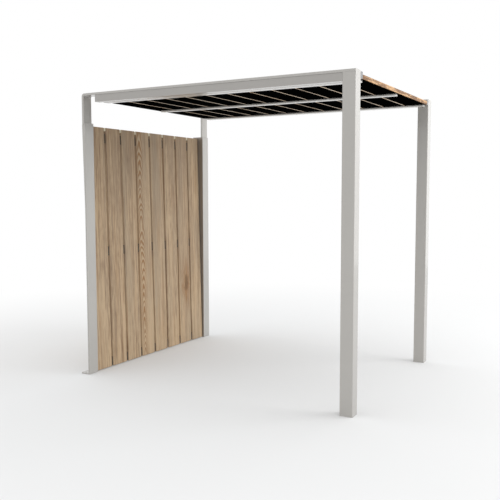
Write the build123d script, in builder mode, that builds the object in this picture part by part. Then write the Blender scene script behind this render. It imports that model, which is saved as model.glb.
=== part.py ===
"""Open public shelter: two portal frames, a boarded roof panel and one boarded side wall.

Millimetres, +Z up. The front is towards -Y and the boarded wall stands on the left, towards -X.
The origin lies on the ground, in the middle of the shelter's outline.
"""
import os

from build123d import *

# Overall frame, measured over the outside faces of the right posts and of the legs of the head bars
frame_width = 2537.0
frame_depth = 1990.0
frame_height = 2500.0

# Flat bar that makes the head of each frame and its leg, down to the top of the wall
bar_width = 100.0
head_thickness = 20.0
head_bend_radius = 8.0
head_edge_radius = 2.0

# Thinner flat bar below it that makes upright and foot, set in from the outside of the leg
upright_step = 12.0
upright_thickness = 12.0
upright_edge_radius = 5.0
foot_bend_radius = 3.0
foot_reach = 80.0
anchor_hole_diameter = 14.0
anchor_hole_spacing = 60.0

# Square tube posts on the right
post_side = 100.0
post_corner_radius = 5.0

# Front beam under the head bar
beam_depth = 60.0
beam_height = 61.0
beam_setback = 3.0
beam_start = 149.0
beam_corner_radius = 2.0

# Roof panel: edge tubes at the frames, rails under the boards, boards front to back
roof_width = 2457.0
edge_tube_width = 40.0
edge_tube_height = 50.0
edge_tube_corner_radius = 3.0
rail_thickness = 18.0
edge_rail_width = 75.0
middle_rail_width = 60.0
rail_left_inset = 62.0
rail_right_inset = 24.0
rail_corner_radius = 7.0
roof_board_count = 12
roof_board_thickness = 33.0
roof_board_gap = 8.0
roof_board_end_gap = 4.0
roof_drop = 56.0

# Left wall: angle stiles on the uprights, rails behind, raked upright boards
wall_top_gap = 269.0
wall_rake = 48.0
wall_ground_gap = 10.0
wall_board_count = 8
wall_board_thickness = 32.0
wall_board_gap = 24.0
wall_side_gap = 12.0
wall_board_setback = 13.0
stile_cheek_thickness = 6.0
stile_web_thickness = 10.0
stile_rise = 16.0
stile_top_cut = 4.0
stile_foot_gap = 3.0
wall_rail_height = 60.0
wall_rail_thickness = 30.0
wall_rail_names = ("lower", "middle", "upper")
wall_rail_height_shares = (0.024, 0.49, 0.956)

# Eased edges of the timber
board_edge_chamfer = 3.0

# Places that follow from the sizes above
wall_back = wall_board_thickness + wall_rail_thickness
stile_inset = upright_step + upright_thickness + stile_cheek_thickness
x_right = (frame_width - stile_inset + wall_board_setback + wall_rake + wall_back) / 2
x_left = x_right - frame_width
x_upright = x_left + upright_step
stile_face = x_left + stile_inset
y_front = -frame_depth / 2
y_rear = frame_depth / 2
head_underside = frame_height - head_thickness
frame_front_edges = {"front": y_front, "rear": y_rear - bar_width}
roof_left = x_right - roof_width
roof_underside_height = frame_height - roof_drop
wall_height = frame_height - wall_top_gap
stile_top = wall_height + stile_rise

os.makedirs("parts", exist_ok=True)


def save(part, name):
    """Labels a finished piece and writes it as one STEP file."""
    part.label = name
    export_step(part, f"parts/{name}.step")


def across(y_far):
    """Upright plane facing the front, so that an extrusion runs forwards from y_far."""
    return Plane.XZ.offset(-y_far)


# Left uprights: flat bar turned outwards at the ground, with two anchor holes in the foot
upright_centre = x_upright + upright_thickness / 2
foot_centre_height = upright_thickness / 2
for end, y_bar in frame_front_edges.items():
    with BuildPart() as upright:
        with BuildSketch(across(y_bar + bar_width)):
            with BuildLine():
                FilletPolyline(
                    (x_upright - foot_reach, foot_centre_height),
                    (upright_centre, foot_centre_height),
                    (upright_centre, wall_height),
                    radius=foot_bend_radius + upright_thickness / 2,
                )
            trace(line_width=upright_thickness)
        extrude(amount=bar_width)
        fillet(upright.faces().filter_by(Axis.Y).edges(), radius=upright_edge_radius)
        hole_x = x_upright - (foot_reach + foot_bend_radius) / 2
        with Locations((hole_x, y_bar + bar_width / 2, upright_thickness)):
            with GridLocations(anchor_hole_spacing, anchor_hole_spacing, 1, 2):
                Hole(anchor_hole_diameter / 2, depth=upright_thickness)
    save(upright.part, f"{end}_left_upright")

# Head bars: thicker flat bar, stood on the upright, bent over and run to the right post
leg_centre = x_left + head_thickness / 2
head_centre_height = frame_height - head_thickness / 2
for end, y_bar in frame_front_edges.items():
    with BuildPart() as head_bar:
        with BuildSketch(across(y_bar + bar_width)):
            with BuildLine():
                FilletPolyline(
                    (leg_centre, wall_height),
                    (leg_centre, head_centre_height),
                    (x_right, head_centre_height),
                    radius=head_bend_radius + head_thickness / 2,
                )
            trace(line_width=head_thickness)
        extrude(amount=bar_width)
        fillet(head_bar.faces().filter_by(Axis.Y).edges(), radius=head_edge_radius)
    save(head_bar.part, f"{end}_head_bar")

# Right posts: square tube with rounded corners, standing under the head bars
for end, y_bar in {"front": y_front, "rear": y_rear - post_side}.items():
    with BuildPart() as post:
        with BuildSketch(Plane.XY):
            with Locations((x_right - post_side / 2, y_bar + post_side / 2)):
                RectangleRounded(post_side, post_side, post_corner_radius)
        extrude(amount=head_underside)
    save(post.part, f"{end}_right_post")

# Front beam: rectangular tube hung under the front head bar, set back a little from its edge
with BuildPart() as beam:
    beam_right = x_right - post_side
    beam_left = x_left + beam_start
    with BuildSketch(Plane.YZ.offset(beam_left)):
        with Locations((y_front + beam_setback + beam_depth / 2, head_underside - beam_height / 2)):
            RectangleRounded(beam_depth, beam_height, beam_corner_radius)
    extrude(amount=beam_right - beam_left)
save(beam.part, "front_beam")

# Roof edge tubes: one behind the front frame and one before the rear frame
edge_tube_centres = {
    "front": y_front + bar_width + edge_tube_width / 2,
    "rear": y_rear - bar_width - edge_tube_width / 2,
}
for end, y_tube in edge_tube_centres.items():
    with BuildPart() as edge_tube:
        with BuildSketch(Plane.YZ.offset(roof_left)):
            with Locations((y_tube, roof_underside_height + edge_tube_height / 2)):
                RectangleRounded(edge_tube_width, edge_tube_height, edge_tube_corner_radius)
        extrude(amount=roof_width)
    save(edge_tube.part, f"{end}_roof_tube")

# Roof rails: flat tubes under the boards, the outer two also carrying the edge tubes
rail_overlap = edge_tube_width / 2
front_rail_y = y_front + bar_width + rail_overlap + edge_rail_width / 2
rail_places = {
    "front": (front_rail_y, edge_rail_width),
    "middle": (0, middle_rail_width),
    "rear": (-front_rail_y, edge_rail_width),
}
for place, (y_rail, rail_width) in rail_places.items():
    with BuildPart() as roof_rail:
        with BuildSketch(Plane.YZ.offset(roof_left + rail_left_inset)):
            with Locations((y_rail, roof_underside_height - rail_thickness / 2)):
                RectangleRounded(rail_width, rail_thickness, rail_corner_radius)
        extrude(amount=roof_width - rail_left_inset - rail_right_inset)
    save(roof_rail.part, f"{place}_roof_rail")

# Roof boards: planed timber laid front to back between the edge tubes
roof_board_pitch = (roof_width + roof_board_gap) / roof_board_count
roof_board_width = roof_board_pitch - roof_board_gap
roof_board_length = frame_depth - 2 * (bar_width + edge_tube_width + roof_board_end_gap)
for index in range(roof_board_count):
    board_x = roof_left + roof_board_width / 2 + index * roof_board_pitch
    with BuildPart() as roof_board:
        with Locations((board_x, 0, roof_underside_height + roof_board_thickness / 2)):
            Box(roof_board_width, roof_board_length, roof_board_thickness)
        chamfer(roof_board.edges().group_by(SortBy.LENGTH)[-1], length=board_edge_chamfer)
    save(roof_board.part, f"roof_board_{index + 1:02d}")

# Wall planes: the front faces of the boards lean outwards from the ground to the top of the stiles
wall_foot_x = stile_face - wall_board_setback


def wall_plane_x(height, behind):
    """Place in X of a plane parallel to the raked boards, so far behind their faces."""
    return wall_foot_x - wall_rake * height / stile_top - behind


# Wall stiles: angles with a cheek on the upright and a raked web beside the boards, standing above them
cheek_back = stile_face - stile_cheek_thickness
stile_webs = {
    "front": (y_front, y_front + bar_width),
    "rear": (y_rear - bar_width, y_rear - bar_width - stile_web_thickness),
}
for end, (y_cheek, y_web) in stile_webs.items():
    with BuildPart() as stile:
        with BuildSketch(across(y_cheek + bar_width)):
            with BuildLine():
                Polyline(
                    (cheek_back, stile_foot_gap),
                    (cheek_back, stile_top),
                    (stile_face - stile_top_cut, stile_top),
                    (stile_face, stile_top - stile_top_cut),
                    (stile_face, stile_foot_gap),
                    close=True,
                )
            make_face()
        extrude(amount=bar_width)
        with BuildSketch(across(y_web + stile_web_thickness)):
            with BuildLine():
                Polyline(
                    (stile_face, stile_foot_gap),
                    (stile_face, stile_top - stile_top_cut),
                    (stile_face - stile_top_cut, stile_top),
                    (wall_plane_x(stile_top, wall_back), stile_top),
                    (wall_plane_x(stile_foot_gap, wall_back), stile_foot_gap),
                    close=True,
                )
            make_face()
        extrude(amount=stile_web_thickness)
    save(stile.part, f"{end}_wall_stile")

# Wall rails: flat bars behind the boards, from stile web to stile web
wall_clear_depth = frame_depth - 2 * (bar_width + stile_web_thickness)
for rail_name, height_share in zip(wall_rail_names, wall_rail_height_shares):
    rail_low = wall_height * height_share - wall_rail_height / 2
    rail_high = rail_low + wall_rail_height
    with BuildPart() as wall_rail:
        with BuildSketch(across(wall_clear_depth / 2)):
            with BuildLine():
                Polyline(
                    (wall_plane_x(rail_low, wall_board_thickness), rail_low),
                    (wall_plane_x(rail_high, wall_board_thickness), rail_high),
                    (wall_plane_x(rail_high, wall_back), rail_high),
                    (wall_plane_x(rail_low, wall_back), rail_low),
                    close=True,
                )
            make_face()
        extrude(amount=wall_clear_depth)
    save(wall_rail.part, f"{rail_name}_wall_rail")

# Wall boards: wide planks side by side, fixed to the rails, clear of the ground
wall_boards_depth = wall_clear_depth - 2 * wall_side_gap
wall_board_pitch = (wall_boards_depth + wall_board_gap) / wall_board_count
wall_board_width = wall_board_pitch - wall_board_gap
for index in range(wall_board_count):
    y_board = -wall_boards_depth / 2 + index * wall_board_pitch
    with BuildPart() as wall_board:
        with BuildSketch(across(y_board + wall_board_width)):
            with BuildLine():
                Polyline(
                    (wall_plane_x(wall_ground_gap, 0), wall_ground_gap),
                    (wall_plane_x(wall_height, 0), wall_height),
                    (wall_plane_x(wall_height, wall_board_thickness), wall_height),
                    (wall_plane_x(wall_ground_gap, wall_board_thickness), wall_ground_gap),
                    close=True,
                )
            make_face()
        extrude(amount=wall_board_width)
        chamfer(wall_board.edges().group_by(SortBy.LENGTH)[-1], length=board_edge_chamfer)
    save(wall_board.part, f"wall_board_{index + 1}")
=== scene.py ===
"""Open public shelter: the finish of its metal frames, boarded roof and boarded side wall.

It also sets up the floor, the light and the camera.
Metres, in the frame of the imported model: +Z up, the front towards -Y, the boarded wall on the left.
"""
import math
import random

import bmesh
import bpy
from mathutils import Matrix, Vector


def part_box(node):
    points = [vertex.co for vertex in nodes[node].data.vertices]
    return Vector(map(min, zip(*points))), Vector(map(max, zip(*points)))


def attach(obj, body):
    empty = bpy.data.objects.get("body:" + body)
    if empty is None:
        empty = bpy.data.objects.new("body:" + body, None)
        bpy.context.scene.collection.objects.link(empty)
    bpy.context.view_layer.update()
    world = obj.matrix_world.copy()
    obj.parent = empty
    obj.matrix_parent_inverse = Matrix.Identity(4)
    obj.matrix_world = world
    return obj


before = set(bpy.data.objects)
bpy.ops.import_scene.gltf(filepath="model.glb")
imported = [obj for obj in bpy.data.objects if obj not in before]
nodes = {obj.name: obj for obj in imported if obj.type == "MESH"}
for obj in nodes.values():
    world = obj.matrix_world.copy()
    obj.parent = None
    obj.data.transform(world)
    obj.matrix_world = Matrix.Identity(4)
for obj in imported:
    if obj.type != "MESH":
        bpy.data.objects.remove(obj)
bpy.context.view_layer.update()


# Left uprights and head bars
# Flat steel bars: a thin one turned out as a foot, and a thicker one stood on it and bent over as the head.
# They are welded, blasted and coated in a fine satin light grey.
def add_node(tree, kind, inputs=None, **settings):
    """Adds one node. Inputs are set to a value, or linked where the value is another node's socket."""
    made = tree.nodes.new(kind)
    for name, value in settings.items():
        setattr(made, name, value)
    for name, value in (inputs or {}).items():
        if isinstance(value, bpy.types.NodeSocket):
            tree.links.new(value, made.inputs[name])
        else:
            made.inputs[name].default_value = value
    return made


def maths(tree, operation, first, second=0.0):
    """One sum of two numbers or sockets, as the socket that holds its result."""
    return add_node(tree, "ShaderNodeMath", {0: first, 1: second}, operation=operation).outputs[0]


def new_group(name, inputs, outputs):
    """An empty shader node group with named sockets, and its input and output nodes."""
    group = bpy.data.node_groups.new(name, "ShaderNodeTree")
    for label, kind in inputs.items():
        group.interface.new_socket(name=label, in_out="INPUT", socket_type=f"NodeSocket{kind}")
    for label, kind in outputs.items():
        group.interface.new_socket(name=label, in_out="OUTPUT", socket_type=f"NodeSocket{kind}")
    return group, group.nodes.new("NodeGroupInput"), group.nodes.new("NodeGroupOutput")


def place_group(tree, group, inputs):
    """Puts a finished node group in a material, with its own values."""
    return add_node(tree, "ShaderNodeGroup", inputs, node_tree=group)


def new_material(name):
    """A material with an empty node tree, and the Principled shader that it ends in."""
    material = bpy.data.materials.new(name)
    material.use_nodes = True
    tree = material.node_tree
    tree.nodes.clear()
    shader = tree.nodes.new("ShaderNodeBsdfPrincipled")
    output = tree.nodes.new("ShaderNodeOutputMaterial")
    tree.links.new(shader.outputs["BSDF"], output.inputs["Surface"])
    return material, tree, shader


def dress(node_name, *materials):
    """Gives a carried-over piece its materials, in the order of its slots."""
    slots = nodes[node_name].data.materials
    slots.clear()
    for material in materials:
        slots.append(material)


coating, coat_in, coat_out = new_group(
    "satin_coating",
    {"Place": "Vector", "Coat Colour": "Color", "Dust Colour": "Color", "Dust Height": "Float"},
    {"Colour": "Color", "Roughness": "Float", "Height": "Float"},
)
coat_cloud = add_node(coating, "ShaderNodeTexNoise", {
    "Vector": coat_in.outputs["Place"], "Scale": 2.3, "Detail": 3.0, "Roughness": 0.55})
coat_grain = add_node(coating, "ShaderNodeTexNoise", {
    "Vector": coat_in.outputs["Place"], "Scale": 900.0, "Detail": 2.0, "Roughness": 0.5})
coat_height = add_node(coating, "ShaderNodeSeparateXYZ", {0: coat_in.outputs["Place"]}).outputs["Z"]
dust_fall = add_node(coating, "ShaderNodeMapRange", {
    "Value": coat_height, "From Min": 0.0, "From Max": coat_in.outputs["Dust Height"],
    "To Min": 0.16, "To Max": 0.0}, interpolation_type="SMOOTHERSTEP")
dust = maths(coating, "MULTIPLY", dust_fall.outputs["Result"], coat_cloud.outputs["Fac"])
coat_shift = add_node(coating, "ShaderNodeMapRange", {
    "Value": coat_cloud.outputs["Fac"], "From Min": 0.3, "From Max": 0.7, "To Min": 0.97, "To Max": 1.03})
coat_tone = add_node(coating, "ShaderNodeVectorMath", {
    0: coat_in.outputs["Coat Colour"], "Scale": coat_shift.outputs["Result"]}, operation="SCALE")
coat_mix = add_node(coating, "ShaderNodeMix", {
    "Factor": dust, 6: coat_tone.outputs["Vector"], 7: coat_in.outputs["Dust Colour"]}, data_type="RGBA")
coat_rough = add_node(coating, "ShaderNodeMapRange", {
    "Value": coat_cloud.outputs["Fac"], "From Min": 0.25, "From Max": 0.75, "To Min": 0.52, "To Max": 0.60})
coating.links.new(coat_mix.outputs[2], coat_out.inputs["Colour"])
coating.links.new(maths(coating, "ADD", coat_rough.outputs["Result"], dust), coat_out.inputs["Roughness"])
coating.links.new(coat_grain.outputs["Fac"], coat_out.inputs["Height"])

dust_colour = (0.38, 0.36, 0.33, 1.0)
dust_height = 0.22


def coated_metal(name, colour):
    """Satin coated steel: fine orange peel, faint clouding, and a little dust near the ground."""
    material, tree, shader = new_material(name)
    place = add_node(tree, "ShaderNodeTexCoord").outputs["Object"]
    coat = place_group(tree, coating, {
        "Place": place, "Coat Colour": colour, "Dust Colour": dust_colour, "Dust Height": dust_height})
    bump = add_node(tree, "ShaderNodeBump", {
        "Strength": 0.06, "Distance": 0.0004, "Height": coat.outputs["Height"]})
    tree.links.new(coat.outputs["Colour"], shader.inputs["Base Color"])
    tree.links.new(coat.outputs["Roughness"], shader.inputs["Roughness"])
    tree.links.new(bump.outputs["Normal"], shader.inputs["Normal"])
    shader.inputs["Metallic"].default_value = 0.5
    shader.inputs["Coat Weight"].default_value = 1.0
    shader.inputs["Coat Roughness"].default_value = 0.12
    return material


frame_grey = coated_metal("frame_grey", (0.455, 0.44, 0.415, 1.0))
for end in ("front", "rear"):
    dress(f"{end}_left_upright", frame_grey)
    dress(f"{end}_head_bar", frame_grey)


# Right posts
# Plain square steel tube, cut square and stood on the ground, welded under the head bars.
# The same satin light grey coating.
for end in ("front", "rear"):
    dress(f"{end}_right_post", frame_grey)


# Front beam, roof edge tubes and roof rails
# Drawn steel tube in three sizes, welded behind and under the head bars to carry the roof boards.
# All are coated: the tubes like the frames, with dark ends; the beam darker as painted shade, the rails
# paler as painted highlight.
# The beam's darker grey is painted shade of its recess under the head bar.
painted_shade_beam_grey = coated_metal("painted_shade_beam_grey", (0.385, 0.37, 0.35, 1.0))
# The rails' paler grey is a painted highlight, for the bright floor that they reflect underneath.
painted_highlight_rail_grey = coated_metal("painted_highlight_rail_grey", (0.54, 0.525, 0.50, 1.0))
tube_end_grey = coated_metal("tube_end_grey", (0.13, 0.13, 0.135, 1.0))
square_on = 0.9
dress("front_beam", painted_shade_beam_grey)
for node_name in ("front_roof_rail", "middle_roof_rail", "rear_roof_rail"):
    dress(node_name, painted_highlight_rail_grey)
for node_name in ("front_roof_tube", "rear_roof_tube"):
    dress(node_name, frame_grey, tube_end_grey)
    for face in nodes[node_name].data.polygons:
        face.material_index = 1 if abs(face.normal.x) > square_on else 0


# Wall stiles and wall rails
# Folded steel angles screwed to the uprights, with flat rails between them behind the boards.
# They are coated with the frames, and the webs where the boards stand against them are dark brown as painted
# shade.
# The dark brown on the webs is painted shade of the narrow gap between the boards and the stile.
painted_shade_web = coated_metal("painted_shade_web", (0.29, 0.25, 0.21, 1.0))
web_face_limit = 0.89
for node_name, shade_side in (("front_wall_stile", 1), ("rear_wall_stile", -1)):
    dress(node_name, frame_grey, painted_shade_web)
    for face in nodes[node_name].data.polygons:
        towards_boards = face.normal.y * shade_side > square_on and abs(face.center.y) < web_face_limit
        face.material_index = 1 if towards_boards else 0
for node_name in ("lower_wall_rail", "middle_wall_rail", "upper_wall_rail"):
    dress(node_name, frame_grey)


# Wall boards
# Eight wide softwood planks, planed, oiled and a little greyed, screwed to the rails from behind.
# One has a flame of flat-cut grain, one a large knot, and the rest are cut straight-grained.
grain, grain_in, grain_out = new_group(
    "timber_grain",
    {"Board Place": "Vector", "Pith Across": "Float", "Pith Depth": "Float", "Pith Lean": "Float",
     "Ring Width": "Float", "Ring Strength": "Float", "Streak Strength": "Float",
     "Knot Across": "Float", "Knot Along": "Float", "Knot Size": "Float",
     "Pale Wood": "Color", "Dark Wood": "Color", "Heart Wood": "Color", "Grey Wood": "Color",
     "Greying": "Float", "Tone": "Float", "Seed": "Float"},
    {"Colour": "Color", "Roughness": "Float", "Height": "Float"},
)
board_place = add_node(grain, "ShaderNodeSeparateXYZ", {0: grain_in.outputs["Board Place"]})
across, depth, along = (board_place.outputs[axis] for axis in "XYZ")
seed_shift = add_node(grain, "ShaderNodeCombineXYZ", {
    "X": grain_in.outputs["Seed"], "Y": grain_in.outputs["Seed"], "Z": grain_in.outputs["Seed"]})
seeded = add_node(grain, "ShaderNodeVectorMath", {
    0: grain_in.outputs["Board Place"], 1: seed_shift.outputs["Vector"]}, operation="ADD").outputs["Vector"]


def stretched_noise(tree, place, across_scale, along_scale, detail):
    """Noise drawn out along the fibres of the board."""
    scaled = add_node(tree, "ShaderNodeVectorMath", {
        0: place, 1: (across_scale, across_scale, along_scale)}, operation="MULTIPLY")
    noise = add_node(tree, "ShaderNodeTexNoise", {
        "Vector": scaled.outputs["Vector"], "Scale": 1.0, "Detail": detail, "Roughness": 0.6})
    return noise.outputs["Fac"]


def level(tree, value, low, high, at_low, at_high):
    """A value brought from one range to another, and held at its ends."""
    made = add_node(tree, "ShaderNodeMapRange", {
        "Value": value, "From Min": low, "From Max": high, "To Min": at_low, "To Max": at_high})
    return made.outputs["Result"]


def soft_level(tree, value, low, high, at_low, at_high):
    """The same with a smooth start and end."""
    made = add_node(tree, "ShaderNodeMapRange", {
        "Value": value, "From Min": low, "From Max": high, "To Min": at_low, "To Max": at_high},
        interpolation_type="SMOOTHERSTEP")
    return made.outputs["Result"]


def mixed(tree, factor, first, second):
    """One colour brought over to another by a factor, as the socket that holds the result."""
    made = add_node(tree, "ShaderNodeMix", {"Factor": factor, 6: first, 7: second}, data_type="RGBA")
    return made.outputs[2]


def centred(tree, noise, reach):
    """Noise moved to lie about nought, over a reach in metres."""
    return maths(tree, "MULTIPLY", maths(tree, "SUBTRACT", noise, 0.5), reach)


def length_of(tree, first, second):
    """The length of the slope over two legs at right angles."""
    squares = maths(tree, "ADD", maths(tree, "POWER", first, 2.0), maths(tree, "POWER", second, 2.0))
    return maths(tree, "SQRT", squares)


wander = stretched_noise(grain, seeded, across_scale=5.0, along_scale=0.9, detail=2.0)
waver = stretched_noise(grain, seeded, across_scale=6.0, along_scale=3.5, detail=2.0)
bands = stretched_noise(grain, seeded, across_scale=17.0, along_scale=0.35, detail=1.0)
streaks = stretched_noise(grain, seeded, across_scale=60.0, along_scale=0.7, detail=2.0)
threads = stretched_noise(grain, seeded, across_scale=135.0, along_scale=1.6, detail=1.0)
flecks = stretched_noise(grain, seeded, across_scale=75.0, along_scale=11.0, detail=2.0)
warmth = stretched_noise(grain, seeded, across_scale=34.0, along_scale=1.3, detail=2.0)
fibres = stretched_noise(grain, seeded, across_scale=420.0, along_scale=9.0, detail=2.0)
greyed = stretched_noise(grain, seeded, across_scale=8.0, along_scale=0.8, detail=2.0)
patches = stretched_noise(grain, seeded, across_scale=4.0, along_scale=2.6, detail=1.0)

knot_length_share = 0.3
knot_push_share = 0.6
ragged = maths(grain, "ADD", centred(grain, waver, reach=0.15), centred(grain, flecks, reach=0.10))
knot_across = maths(grain, "ADD", maths(grain, "SUBTRACT", across, grain_in.outputs["Knot Across"]), ragged)
knot_along = maths(
    grain, "MULTIPLY", maths(grain, "SUBTRACT", along, grain_in.outputs["Knot Along"]), knot_length_share)
knot_far = maths(grain, "DIVIDE", length_of(grain, knot_across, knot_along), grain_in.outputs["Knot Size"])
knot_near = soft_level(grain, knot_far, 0.35, 4.2, 1.0, 0.0)
knot_heart = soft_level(grain, knot_far, 0.60, 1.15, 1.0, 0.0)
knot_push = maths(
    grain, "MULTIPLY", maths(grain, "MULTIPLY", knot_near, grain_in.outputs["Knot Size"]), knot_push_share)

pith_side = maths(grain, "SUBTRACT", across, grain_in.outputs["Pith Across"])
ring_across = maths(grain, "ADD", pith_side, centred(grain, wander, reach=0.05))
wavered_depth = maths(grain, "ADD", depth, centred(grain, waver, reach=0.022))
pith_depth = maths(grain, "ADD", wavered_depth, grain_in.outputs["Pith Depth"])
ring_depth = maths(grain, "ADD", pith_depth, maths(grain, "MULTIPLY", along, grain_in.outputs["Pith Lean"]))
ring_far = maths(grain, "ADD", length_of(grain, ring_across, ring_depth), knot_push)
ring_count = maths(grain, "DIVIDE", ring_far, grain_in.outputs["Ring Width"])
late_wood = add_node(grain, "ShaderNodeValToRGB", {"Fac": maths(grain, "FRACT", ring_count)})
late_ramp = late_wood.color_ramp.elements
early_share = 0.05
for ramp_end in late_ramp:
    ramp_end.color = (early_share, early_share, early_share, 1.0)
for stop, dark_share in ((0.35, 0.15), (0.80, 1.0)):
    late_ramp.new(stop).color = (dark_share, dark_share, dark_share, 1.0)
late_share = add_node(grain, "ShaderNodeSeparateColor", {0: late_wood.outputs["Color"]}).outputs[0]

plain_figure = 0.4
flame_share = level(grain, maths(grain, "ABSOLUTE", ring_across), 0.03, 0.08, 1.0, 0.0)
flame_figure = maths(grain, "MULTIPLY", flame_share, level(grain, patches, 0.38, 0.62, 0.75, 1.35))
knot_figure = maths(grain, "MAXIMUM", knot_near, plain_figure)
late = maths(grain, "MULTIPLY", late_share, maths(grain, "MAXIMUM", flame_figure, knot_figure))
streaked = level(grain, bands, 0.34, 0.66, -0.12, 0.12)
for layer in (level(grain, streaks, 0.38, 0.62, -0.20, 0.22),
              level(grain, threads, 0.40, 0.60, -0.18, 0.18),
              level(grain, flecks, 0.36, 0.64, -0.14, 0.14)):
    streaked = maths(grain, "ADD", streaked, layer)
board_half = 1.1
fibre_strength = 0.20
streaked = maths(grain, "MULTIPLY", streaked, level(grain, along, -board_half, board_half, 1.25, 0.75))
darkness = maths(grain, "MULTIPLY", late, grain_in.outputs["Ring Strength"])
# Each board also darkens from foot to top: painted shade of the roof over the top of the wall. On roof
# boards it runs along their length.
for layer in (maths(grain, "MULTIPLY", streaked, grain_in.outputs["Streak Strength"]),
              maths(grain, "MULTIPLY", fibres, fibre_strength),
              level(grain, along, -board_half, board_half, -0.20, 0.11),
              grain_in.outputs["Tone"]):
    darkness = maths(grain, "ADD", darkness, layer)

grain_colour = mixed(grain, darkness, grain_in.outputs["Pale Wood"], grain_in.outputs["Dark Wood"])
grey_patches = level(grain, greyed, 0.38, 0.64, 0.0, 1.0)
grey_share = maths(grain, "MULTIPLY", grey_patches, grain_in.outputs["Greying"])
grain_colour = mixed(grain, grey_share, grain_colour, grain_in.outputs["Grey Wood"])
heart_part = maths(grain, "MAXIMUM", flame_share, knot_near)
heart_share = maths(grain, "MULTIPLY", heart_part, level(grain, late, 0.10, 0.9, 0.0, 0.95))
knot_lines = maths(grain, "MULTIPLY", knot_near, level(grain, threads, 0.44, 0.58, 0.15, 1.0))
for layer in (knot_lines, level(grain, warmth, 0.50, 0.72, 0.0, 0.35)):
    heart_share = maths(grain, "MAXIMUM", heart_share, layer)
grain_colour = mixed(grain, heart_share, grain_colour, grain_in.outputs["Heart Wood"])
knot_strength = 0.85
knot_wood = add_node(grain, "ShaderNodeVectorMath", {
    0: grain_in.outputs["Heart Wood"], "Scale": 0.55}, operation="SCALE").outputs["Vector"]
grain_colour = mixed(grain, maths(grain, "MULTIPLY", knot_heart, knot_strength), grain_colour, knot_wood)
grain.links.new(grain_colour, grain_out.inputs["Colour"])
grain.links.new(level(grain, fibres, 0.3, 0.7, 0.50, 0.70), grain_out.inputs["Roughness"])
late_rise = 0.5
grain_height = maths(grain, "SUBTRACT", maths(grain, "MULTIPLY", late, late_rise), fibres)
grain.links.new(grain_height, grain_out.inputs["Height"])


def timber(name, turn, shift, values, colours, stretch=(1.0, 1.0, 1.0)):
    """Planed softwood. Stretch, turn and shift bring a board's axes to across, into and along the board."""
    material, tree, shader = new_material(name)
    place = add_node(tree, "ShaderNodeTexCoord").outputs["Object"]
    board = add_node(tree, "ShaderNodeMapping", {
        "Vector": place, "Rotation": turn, "Location": shift, "Scale": stretch})
    wood = place_group(tree, grain, {"Board Place": board.outputs["Vector"], **colours, **values})
    bump = add_node(tree, "ShaderNodeBump", {
        "Strength": 0.35, "Distance": 0.0006, "Height": wood.outputs["Height"]})
    tree.links.new(wood.outputs["Colour"], shader.inputs["Base Color"])
    tree.links.new(wood.outputs["Roughness"], shader.inputs["Roughness"])
    tree.links.new(bump.outputs["Normal"], shader.inputs["Normal"])
    shader.inputs["Specular IOR Level"].default_value = 0.4
    return material


def board_values(draw):
    """Seeded values of a straight-grained board: the heart of its log lies well behind and to one side."""
    return {
        "Pith Across": draw.choice((-1, 1)) * draw.uniform(0.18, 0.30),
        "Pith Depth": draw.uniform(0.12, 0.22),
        "Pith Lean": draw.uniform(-0.010, 0.010),
        "Ring Width": draw.uniform(0.006, 0.010),
        "Ring Strength": 0.9,
        "Streak Strength": draw.uniform(0.85, 1.25),
        "Knot Across": 0.0,
        "Knot Along": 9.0,
        "Knot Size": 0.03,
        "Greying": draw.uniform(0.25, 0.6),
        "Tone": draw.uniform(-0.02, 0.16),
        "Seed": draw.uniform(0.0, 40.0),
    }


wall_names = sorted(name for name in nodes if name.startswith("wall_board_"))
wall_colours = {
    "Pale Wood": (0.545, 0.40, 0.25, 1.0),
    "Dark Wood": (0.225, 0.135, 0.075, 1.0),
    "Heart Wood": (0.315, 0.165, 0.065, 1.0),
    "Grey Wood": (0.315, 0.25, 0.18, 1.0),
}
wall_turn = (0.0, 0.0, -math.pi / 2)
flame_board = "wall_board_4"
knot_board = "wall_board_7"
wall_draw = random.Random(11)
for node_name in wall_names:
    low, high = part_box(node_name)
    values = board_values(wall_draw)
    if node_name == flame_board:
        values.update({"Pith Across": -0.055, "Pith Depth": 0.095, "Pith Lean": 0.042,
                       "Ring Width": 0.0052, "Ring Strength": 1.35, "Tone": -0.18})
    if node_name == knot_board:
        values.update({"Knot Across": 0.03, "Knot Along": -0.46, "Knot Size": 0.030})
    shift = (-(low[1] + high[1]) / 2, high[0], -(low[2] + high[2]) / 2)
    dress(node_name, timber(f"{node_name}_timber", wall_turn, shift, values, wall_colours))


# Wall screws
# Zinc plated socket screws with flat domed heads, driven through the rails into the backs of the boards.
# Larger ones of the same kind go through the uprights and hold the stiles.
screw_zinc = coated_metal("screw_zinc", (0.62, 0.62, 0.60, 1.0))


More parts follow.
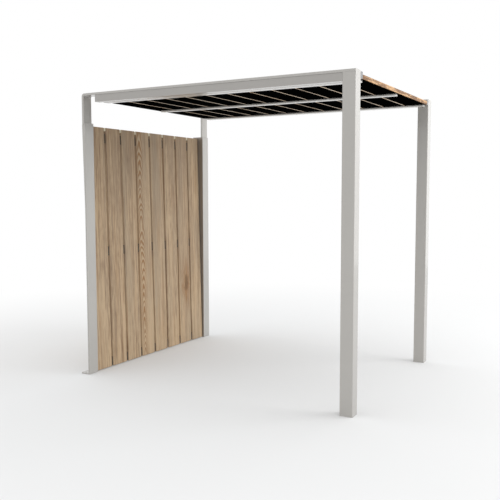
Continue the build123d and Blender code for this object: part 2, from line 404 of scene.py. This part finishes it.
def socket_screws(name, places, facing, radius, height):
    """Domed screw heads at places as one piece, each with an eased rim and a round socket."""
    rim_sides = 18
    top_share = 0.66
    rim_share = 0.35
    lip_share = 0.16
    socket_share = 0.55
    turn = Vector(facing).to_track_quat("Z", "Y").to_matrix().to_4x4()
    heads = bmesh.new()
    for place in places:
        stand = Matrix.Translation(Vector(place)) @ turn
        bmesh.ops.create_cone(
            heads, cap_ends=True, segments=rim_sides, radius1=radius, radius2=radius * top_share,
            depth=height, matrix=stand @ Matrix.Translation((0.0, 0.0, height / 2)))
    heads.normal_update()
    tops = [face for face in heads.faces
            if len(face.verts) == rim_sides and face.normal.dot(Vector(facing)) > 0]
    rims = {edge for face in tops for edge in face.edges}
    bmesh.ops.bevel(
        heads, geom=list(rims), offset=height * rim_share, affect="EDGES", segments=2, profile=0.5,
        material=-1)
    heads.normal_update()
    tops = [face for face in heads.faces
            if len(face.verts) == rim_sides and face.normal.dot(Vector(facing)) > square_on]
    bmesh.ops.inset_individual(heads, faces=tops, thickness=radius * lip_share)
    sunk = bmesh.ops.extrude_discrete_faces(heads, faces=tops)["faces"]
    corners = {corner for face in sunk for corner in face.verts}
    bmesh.ops.translate(heads, verts=list(corners), vec=Vector(facing).normalized() * -height * socket_share)
    bmesh.ops.recalc_face_normals(heads, faces=heads.faces)
    data = bpy.data.meshes.new(name)
    heads.to_mesh(data)
    heads.free()
    data.materials.append(screw_zinc)
    piece = bpy.data.objects.new(name, data)
    bpy.context.scene.collection.objects.link(piece)
    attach(piece, "root")


wall_slope = 0.0214
wall_screw_share = 0.28
wall_screw_places = []
for node_name in ("lower_wall_rail", "middle_wall_rail", "upper_wall_rail"):
    rail_low, rail_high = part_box(node_name)
    rail_back = rail_low[0] + wall_slope * (rail_high[2] - rail_low[2]) / 2
    for board_name in wall_names:
        low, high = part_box(board_name)
        for side in (-1, 1):
            screw_y = (low[1] + high[1]) / 2 + side * wall_screw_share * (high[1] - low[1])
            wall_screw_places.append((rail_back, screw_y, (rail_low[2] + rail_high[2]) / 2))
socket_screws("wall_screws", wall_screw_places, (-1.0, 0.0, -wall_slope), radius=0.007, height=0.0018)

upright_thickness = 0.012
stile_screw_heights = (0.28, 0.92, 1.56, 2.12)
stile_screw_places = []
for end in ("front", "rear"):
    low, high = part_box(f"{end}_left_upright")
    outer_face = high[0] - upright_thickness
    stile_screw_places += [(outer_face, (low[1] + high[1]) / 2, height) for height in stile_screw_heights]
socket_screws("stile_screws", stile_screw_places, (-1.0, 0.0, 0.0), radius=0.009, height=0.005)


# Wall packers and gap stops
# Dark blocks in the gaps at the rails, a little behind the faces of the boards, as painted shade.
# Pale blocks close the tops of the gaps as painted light. Both sit between the boards.
wall_boxes = [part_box(node_name) for node_name in wall_names]
wall_foot_face = wall_boxes[0][1][0] + wall_slope * wall_boxes[0][0][2]
block_depth = 0.024
block_edge = 0.001


def gap_blocks(name, heights, half_height, setback, material):
    """Blocks in the gaps between the wall boards at these heights as one piece, leaning with the boards."""
    blocks = bmesh.new()
    lean = Matrix.Rotation(-math.atan(wall_slope), 4, "Y")
    for height in heights:
        block_x = wall_foot_face - wall_slope * height - setback - block_depth / 2
        for near_box, far_box in zip(wall_boxes, wall_boxes[1:]):
            gap_near, gap_far = near_box[1][1], far_box[0][1]
            stand = Matrix.Translation((block_x, (gap_near + gap_far) / 2, height)) @ lean
            size = Matrix.Diagonal((block_depth, gap_far - gap_near, 2 * half_height, 1.0))
            bmesh.ops.create_cube(blocks, size=1.0, matrix=stand @ size)
    bmesh.ops.bevel(
        blocks, geom=list(blocks.edges), offset=block_edge, affect="EDGES", segments=1, profile=0.5,
        material=-1)
    data = bpy.data.meshes.new(name)
    blocks.to_mesh(data)
    blocks.free()
    data.materials.append(material)
    piece = bpy.data.objects.new(name, data)
    bpy.context.scene.collection.objects.link(piece)
    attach(piece, "root")


# The packers' near-black brown is painted shade, where the rails keep the light from behind out of the gaps.
painted_shade_packer_wood, packer_tree, packer_shader = new_material("painted_shade_packer_wood")
packer_place = add_node(packer_tree, "ShaderNodeTexCoord").outputs["Object"]
packer_grain = stretched_noise(packer_tree, packer_place, across_scale=160.0, along_scale=20.0, detail=2.0)
painted_shade_packer_colour = mixed(packer_tree, packer_grain, (0.055, 0.038, 0.025, 1.0), (0.11, 0.08, 0.055, 1.0))
packer_tree.links.new(painted_shade_packer_colour, packer_shader.inputs["Base Color"])
packer_shader.inputs["Roughness"].default_value = 0.7
packer_half_height = 0.042
packer_heights = []
for node_name in ("lower_wall_rail", "middle_wall_rail", "upper_wall_rail"):
    rail_low, rail_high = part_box(node_name)
    packer_heights.append(max((rail_low[2] + rail_high[2]) / 2, wall_boxes[0][0][2] + packer_half_height))
gap_blocks("painted_shade_wall_packers", packer_heights, packer_half_height, setback=0.006, material=painted_shade_packer_wood)

gap_top_painted_light, _, plastic_shader = new_material("gap_top_painted_light")
# The stops' pale cream is painted light, where light from above falls into the tops of the gaps.
plastic_shader.inputs["Base Color"].default_value = (0.66, 0.59, 0.43, 1.0)
plastic_shader.inputs["Roughness"].default_value = 0.5
stop_half_height = 0.014
stop_below_top = 0.002
stop_height = wall_boxes[0][1][2] - stop_half_height - stop_below_top
gap_blocks("painted_light_gap_stops", [stop_height], stop_half_height, setback=0.001, material=gap_top_painted_light)


# Roof boards
# Twelve planed planks laid front to back with narrow gaps, warmer in colour than the wall.
# Undersides are stained black, and tops and outer sides are oiled; the sides in the gaps are paler as
# painted light.
roof_names = sorted(name for name in nodes if name.startswith("roof_board_"))
roof_colours = {
    "Pale Wood": (0.66, 0.40, 0.195, 1.0),
    "Dark Wood": (0.20, 0.095, 0.035, 1.0),
    "Heart Wood": (0.30, 0.14, 0.06, 1.0),
    "Grey Wood": (0.55, 0.42, 0.28, 1.0),
}
roof_turn = (-math.pi / 2, 0.0, 0.0)
black_stain, stain_tree, stain_shader = new_material("black_stain")
stain_place = add_node(stain_tree, "ShaderNodeTexCoord").outputs["Object"]
stain_fibres = stretched_noise(stain_tree, stain_place, across_scale=300.0, along_scale=300.0, detail=2.0)
stain_level = level(stain_tree, stain_fibres, 0.0, 1.0, 0.0002, 0.002)
stain_colour = add_node(stain_tree, "ShaderNodeCombineColor", {
    name: stain_level for name in ("Red", "Green", "Blue")})
stain_tree.links.new(stain_colour.outputs["Color"], stain_shader.inputs["Base Color"])
stain_shader.inputs["Roughness"].default_value = 0.9
stain_shader.inputs["Specular IOR Level"].default_value = 0.0
# Paler colours on the sides in the gaps: painted light, standing for the light that reaches into them.
painted_light_colours = {
    "Pale Wood": (0.72, 0.60, 0.47, 1.0),
    "Dark Wood": (0.40, 0.30, 0.21, 1.0),
    "Heart Wood": (0.50, 0.36, 0.24, 1.0),
    "Grey Wood": (0.60, 0.52, 0.43, 1.0),
}
roof_draw = random.Random(23)
edge_shift = (0.0, 0.0, 0.0)
sideways = 0.6
oiled_slot, stain_slot, painted_light_slot, outer_slot = range(4)
painted_light_edge = timber("painted_light_edge_timber", roof_turn, edge_shift, board_values(roof_draw), painted_light_colours)
for node_name in roof_names:
    low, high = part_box(node_name)
    shift = (-(low[0] + high[0]) / 2, -low[2], (low[1] + high[1]) / 2)
    values = board_values(roof_draw)
    values.update({"Streak Strength": 0.9, "Greying": 0.1})
    oiled = timber(f"{node_name}_timber", roof_turn, shift, values, roof_colours)
    dress(node_name, oiled, black_stain, painted_light_edge)
    for face in nodes[node_name].data.polygons:
        if face.normal.z < -square_on:
            face.material_index = stain_slot
        elif abs(face.normal.x) > sideways:
            face.material_index = painted_light_slot
        else:
            face.material_index = oiled_slot
outer_values = {**board_values(roof_draw), "Streak Strength": 3.2, "Greying": 0.0, "Tone": 0.42}
outer_edge = timber(
    "outer_edge_timber", roof_turn, edge_shift, outer_values, roof_colours, stretch=(0.6, 3.0, 0.6))
for node_name, outer_side in ((roof_names[0], -1), (roof_names[-1], 1)):
    nodes[node_name].data.materials.append(outer_edge)
    for face in nodes[node_name].data.polygons:
        if face.normal.x * outer_side > sideways:
            face.material_index = outer_slot


# Roof screws
# Small flat screws of the same plated steel, driven up through the rails into the roof boards.
# One goes into each board at each rail.
roof_screw_places = []
for node_name in ("front_roof_rail", "middle_roof_rail", "rear_roof_rail"):
    rail_low, rail_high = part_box(node_name)
    for board_name in roof_names:
        low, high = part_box(board_name)
        roof_screw_places.append(((low[0] + high[0]) / 2, (rail_low[1] + rail_high[1]) / 2, rail_low[2]))
socket_screws("roof_screws", roof_screw_places, (0.0, 0.0, -1.0), radius=0.0045, height=0.0018)


# Floor and white surroundings
# A wide pale floor that takes the soft shadow of the shelter and runs out into white, only as a stage.
# The surroundings look plain white, and give more light from above than from the horizon.
floor_half = 60.0
floor_mesh = bmesh.new()
bmesh.ops.create_grid(floor_mesh, x_segments=1, y_segments=1, size=floor_half)
floor_data = bpy.data.meshes.new("floor")
floor_mesh.to_mesh(floor_data)
floor_mesh.free()
floor = bpy.data.objects.new("floor", floor_data)
bpy.context.scene.collection.objects.link(floor)
floor_material = bpy.data.materials.new("pale_floor")
floor_material.use_nodes = True
floor_tree = floor_material.node_tree
floor_tree.nodes.clear()
floor_place = add_node(floor_tree, "ShaderNodeTexCoord").outputs["Object"]
floor_far = add_node(
    floor_tree, "ShaderNodeVectorMath", {0: floor_place}, operation="LENGTH").outputs["Value"]
floor_fade = add_node(floor_tree, "ShaderNodeMapRange", {
    "Value": floor_far, "From Min": 2.5, "From Max": 6.5, "To Min": 0.1, "To Max": 1.0},
    interpolation_type="SMOOTHSTEP")
floor_rays = add_node(floor_tree, "ShaderNodeLightPath").outputs
floor_mirrored = level(floor_tree, floor_far, 1.0, 3.5, 0.5, 1.0)
floor_seen = maths(
    floor_tree, "ADD",
    maths(floor_tree, "MULTIPLY", floor_fade.outputs["Result"], floor_rays["Is Camera Ray"]),
    maths(floor_tree, "MULTIPLY", floor_mirrored,
          maths(floor_tree, "MAXIMUM", floor_rays["Is Glossy Ray"], floor_rays["Is Transmission Ray"])))
white = (1.0, 1.0, 1.0, 1.0)
floor_white = add_node(floor_tree, "ShaderNodeEmission", {"Color": white, "Strength": 1.0})
floor_matt = add_node(floor_tree, "ShaderNodeBsdfDiffuse", {"Color": (0.715, 0.72, 0.722, 1.0)})
floor_mix = add_node(floor_tree, "ShaderNodeMixShader", {
    0: floor_seen, 1: floor_matt.outputs[0], 2: floor_white.outputs[0]})
add_node(floor_tree, "ShaderNodeOutputMaterial", {"Surface": floor_mix.outputs[0]})
floor_data.materials.append(floor_material)

world = bpy.data.worlds.new("white_surroundings")
world.use_nodes = True
bpy.context.scene.world = world
world_tree = world.node_tree
world_tree.nodes.clear()
world_rays = add_node(world_tree, "ShaderNodeLightPath").outputs
world_mirrored = maths(world_tree, "MAXIMUM", world_rays["Is Glossy Ray"], world_rays["Is Transmission Ray"])
world_seen = maths(world_tree, "MAXIMUM", world_rays["Is Camera Ray"], world_mirrored)
sky_way = add_node(world_tree, "ShaderNodeTexCoord").outputs["Generated"]
sky_height = add_node(world_tree, "ShaderNodeSeparateXYZ", {0: sky_way}).outputs["Z"]
sky_strength = level(world_tree, sky_height, 0.0, 1.0, 0.64, 1.45)
world_light = add_node(world_tree, "ShaderNodeBackground", {"Color": white, "Strength": sky_strength})
world_white = add_node(world_tree, "ShaderNodeBackground", {"Color": white, "Strength": 1.0})
world_mix = add_node(world_tree, "ShaderNodeMixShader", {
    0: world_seen, 1: world_light.outputs[0], 2: world_white.outputs[0]})
add_node(world_tree, "ShaderNodeOutputWorld", {"Surface": world_mix.outputs[0]})


# Lamps
# A broad soft lamp high on the right, whose light comes in under the roof to the foot of the wall.
# A larger, weaker one at the rear lights the right-hand faces; the surroundings give the rest.
def area_lamp(name, place, target, size, power):
    """A square soft lamp at place that looks at target."""
    lamp = bpy.data.lights.new(name, "AREA")
    lamp.shape = "SQUARE"
    lamp.size = size
    lamp.energy = power
    holder = bpy.data.objects.new(name, lamp)
    holder.location = place
    holder.rotation_euler = (Vector(target) - Vector(place)).to_track_quat("-Z", "Y").to_euler()
    bpy.context.scene.collection.objects.link(holder)


area_lamp("right_lamp", place=(6.3, 2.0, 4.2), target=(-1.0, 0.0, 0.6), size=4.0, power=165.0)
area_lamp("rear_lamp", place=(3.6, 9.0, 3.0), target=(0.0, 0.0, 1.2), size=7.0, power=80.0)


# Camera
# A normal lens at eye height, in front and to the right, looking slightly down at the shelter.
# Its place, turn and lens were fitted to the corners of the frames in the photograph.
camera_place = (3.1059, -5.6958, 1.6342)
camera_dip = 0.0817
camera_roll = 0.0015
camera_pan = 0.5116
camera_lens = 50.44
camera_data = bpy.data.cameras.new("camera")
camera_data.lens = camera_lens
camera = bpy.data.objects.new("camera", camera_data)
camera.location = camera_place
camera.rotation_euler = (math.pi / 2 - camera_dip, camera_roll, camera_pan)
bpy.context.scene.collection.objects.link(camera)
bpy.context.scene.camera = camera
bpy.context.scene.view_settings.view_transform = "Standard"
